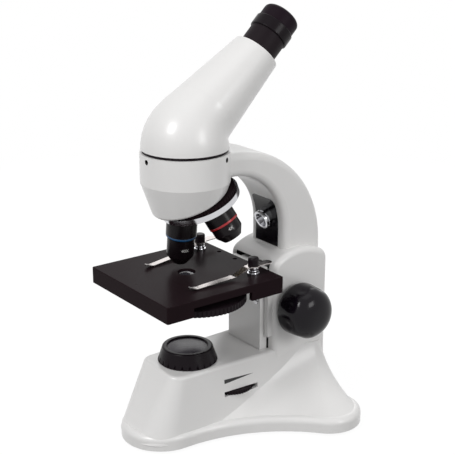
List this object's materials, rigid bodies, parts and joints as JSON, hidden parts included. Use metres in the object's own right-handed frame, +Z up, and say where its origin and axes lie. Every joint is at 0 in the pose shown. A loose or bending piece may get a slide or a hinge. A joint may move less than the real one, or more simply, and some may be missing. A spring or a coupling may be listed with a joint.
{
  "type": "microscope",
  "caption": "Student light microscope with an inclined monocular head, tilted objective turret, rack-focused square stage with clips, and lamps in base and arm.",
  "frame": {"origin": "centre of the footprint at table height", "axes": "+Z up, -Y towards the front of the base, the lamp side away from the arm"},
  "size_m": [0.15, 0.152, 0.2805],
  "materials": {
    "white_enamel": "satin light grey-white enamel",
    "black_enamel": "matte black enamel",
    "black_anodised": "satin black anodised",
    "black_plastic": "semi-gloss black",
    "dark_plastic": "matte black",
    "rubber": "matte",
    "chrome": "polished",
    "steel": "turned",
    "brass": "turned",
    "optical_glass": "coated",
    "circuit_board": "solder mask",
    "led_resin": "clear resin"
  },
  "bodies": {
    "stand": {"stand": "white_enamel", "base_cover": "dark_plastic", "cover_screws": "steel", "rubber_feet": "rubber", "lamp_bezel": "black_plastic", "lamp_lens": "optical_glass", "led_board": "circuit_board", "lower_led": "led_resin", "lamp_panel": "black_plastic", "upper_lamp_barrel": "chrome", "upper_led": "led_resin", "guide_rails": "steel", "shaft_bushes": "brass", "lock_screws": "steel", "turret_base": "black_enamel", "turret_pivot": "steel", "dimmer_pot": "dark_plastic", "dc_inlet": "dark_plastic", "switch_frame": "dark_plastic"},
    "carriage": {"stage_slide": "white_enamel", "slide_screws": "steel", "focus_rack": "brass", "stage_plate": "black_enamel", "stage_screws": "steel", "condenser_ring": "black_enamel", "condenser_lens": "optical_glass", "disc_pivot": "steel", "clip_posts": "chrome", "clip_caps": "black_plastic"},
    "focus_drive": {"focus_shaft": "steel", "focus_pinion": "brass", "focus_knob_left": "black_plastic", "focus_knob_right": "black_plastic"},
    "clip_left": {"clip_left": "chrome"},
    "clip_right": {"clip_right": "chrome"},
    "diaphragm": {"diaphragm_disc": "black_enamel"},
    "turret": {"turret_plate": "black_enamel", "turret_ring": "chrome", "objective_4x": "black_anodised", "objective_10x": "black_anodised", "objective_40x": "black_anodised", "objective_lenses": "optical_glass"},
    "head": {"head_shell": "white_enamel", "head_flange": "dark_plastic", "prism_holder": "dark_plastic", "prism": "optical_glass", "eyepiece_sleeve": "dark_plastic"},
    "eyepiece": {"eyepiece_barrel": "black_plastic", "eyecup": "rubber", "eye_lens": "optical_glass", "field_lens": "optical_glass"},
    "dimmer": {"dimmer_wheel": "dark_plastic"},
    "switch": {"switch_rocker": "black_plastic"}
  },
  "joints": [
    {"name": "stage_focus", "type": "slide", "parent": "stand", "child": "carriage", "axis": [0, 0, 1], "range_m": [-0.013, 0.0018]},
    {"name": "focus_turn", "type": "hinge", "parent": "stand", "child": "focus_drive", "pos_m": [0, 0.0437, 0.0793], "axis": [1, 0, 0], "range_deg": [-18.6, 133.2]},
    {"name": "clip_left_swing", "type": "hinge", "parent": "carriage", "child": "clip_left", "pos_m": [-0.03, 0.0047, 0.1185], "axis": [0, 0, 1], "range_deg": [-70, 10]},
    {"name": "clip_right_swing", "type": "hinge", "parent": "carriage", "child": "clip_right", "pos_m": [0.03, 0.0047, 0.1185], "axis": [0, 0, 1], "range_deg": [-20, 70]},
    {"name": "diaphragm_turn", "type": "hinge", "parent": "carriage", "child": "diaphragm", "pos_m": [0.0148, -0.0303, 0.101], "axis": [0, 0, 1], "continuous": true},
    {"name": "turret_turn", "type": "hinge", "parent": "stand", "child": "turret", "pos_m": [0, -0.0159, 0.1578], "axis": [0, 0.3746, -0.9272], "continuous": true},
    {"name": "head_turn", "type": "hinge", "parent": "stand", "child": "head", "pos_m": [0, -0.0273, 0.195], "axis": [0, 0, 1], "continuous": true},
    {"name": "eyepiece_draw", "type": "slide", "parent": "head", "child": "eyepiece", "axis": [0, 0.7071, 0.7071], "range_m": [0, 0.02]},
    {"name": "dimmer_turn", "type": "hinge", "parent": "stand", "child": "dimmer", "pos_m": [0.0138, -0.0014, 0.0295], "axis": [0, 0, 1], "range_deg": [-135, 135]},
    {"name": "lamp_switch", "type": "hinge", "parent": "stand", "child": "switch", "pos_m": [-0.009, 0.0707, 0.036], "axis": [1, 0, 0], "range_deg": [-8, 8]}
  ],
  "couplings": [
    {"joint": "focus_turn", "follows": "stage_focus", "rad_per_m": -178.57}
  ]
}
